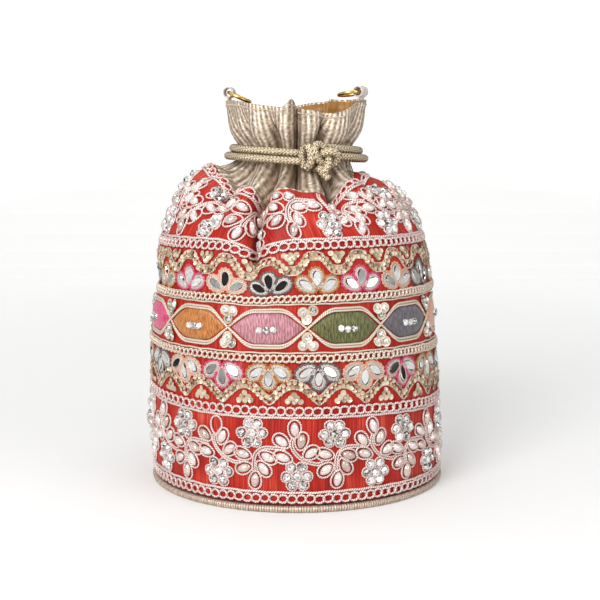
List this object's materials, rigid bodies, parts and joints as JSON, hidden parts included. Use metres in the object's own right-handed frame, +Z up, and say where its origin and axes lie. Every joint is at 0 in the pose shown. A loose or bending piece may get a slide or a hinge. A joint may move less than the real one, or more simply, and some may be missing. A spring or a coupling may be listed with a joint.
{
  "type": "drawstring pouch bag",
  "caption": "Round embroidered silk pouch bag with a gathered neck tied by a cord, a ribbed collar, a satin lining, a flat base and side tabs holding swinging rings.",
  "frame": {"origin": "centre of the underside of the base, on the surface the bag stands on", "axes": "+Z up, front of the bag towards -Y, +X to the right seen from the front"},
  "size_m": [0.1572, 0.1564, 0.2068],
  "materials": {
    "red_silk": "woven raw silk with metallic streaks",
    "champagne_lurex": "ribbed metallic weave",
    "lining_satin": "satin",
    "board": "pressed card",
    "piping": "covered cord",
    "gold_cord": "knitted metallic thread",
    "leatherette": "smooth",
    "gilt": "polished",
    "pink_dori": "couched cord",
    "gold_dori": "couched cord",
    "sequins": "gilt sequins",
    "pearl": "pearl beads and crystals",
    "floss_magenta": "satin stitch",
    "floss_orange": "satin stitch",
    "floss_pink": "satin stitch",
    "floss_olive": "satin stitch",
    "floss_grey": "satin stitch",
    "floss_peach": "satin stitch"
  },
  "bodies": {
    "bag": {"base_cloth": "red_silk", "base_board": "board", "base_piping": "piping", "wall": "red_silk", "collar": "champagne_lurex", "lining": "lining_satin", "drawstring": "gold_cord", "drawstring_knot": "gold_cord", "left_tab": "leatherette", "right_tab": "leatherette", "base_border": "pink_dori", "lower_border": "pink_dori", "upper_border": "pink_dori", "neck_border": "pink_dori", "lower_gold_border": "gold_dori", "upper_gold_border": "gold_dori", "lower_scallop": "sequins", "upper_scallop": "sequins", "lower_vine": "pearl", "upper_vine": "pearl", "hexagon_01": "floss_olive", "hexagon_02": "floss_grey", "hexagon_03": "floss_peach", "hexagon_04": "floss_magenta", "hexagon_05": "floss_orange", "hexagon_06": "floss_pink", "hexagon_07": "floss_olive", "hexagon_08": "floss_grey", "hexagon_09": "floss_peach", "hexagon_10": "floss_magenta", "hexagon_11": "floss_orange", "hexagon_12": "floss_pink"},
    "left_ring": {"left_ring": "gilt"},
    "right_ring": {"right_ring": "gilt"}
  },
  "joints": [
    {"name": "left_ring_swing", "type": "hinge", "parent": "bag", "child": "left_ring", "pos_m": [-0.03582, 0.00318, 0.2038], "axis": [-0.1975, -0.9803, 0], "range_deg": [0, 150]},
    {"name": "right_ring_swing", "type": "hinge", "parent": "bag", "child": "right_ring", "pos_m": [0.03286, -0.01057, 0.20355], "axis": [0.5477, 0.8367, 0], "range_deg": [0, 150]}
  ]
}
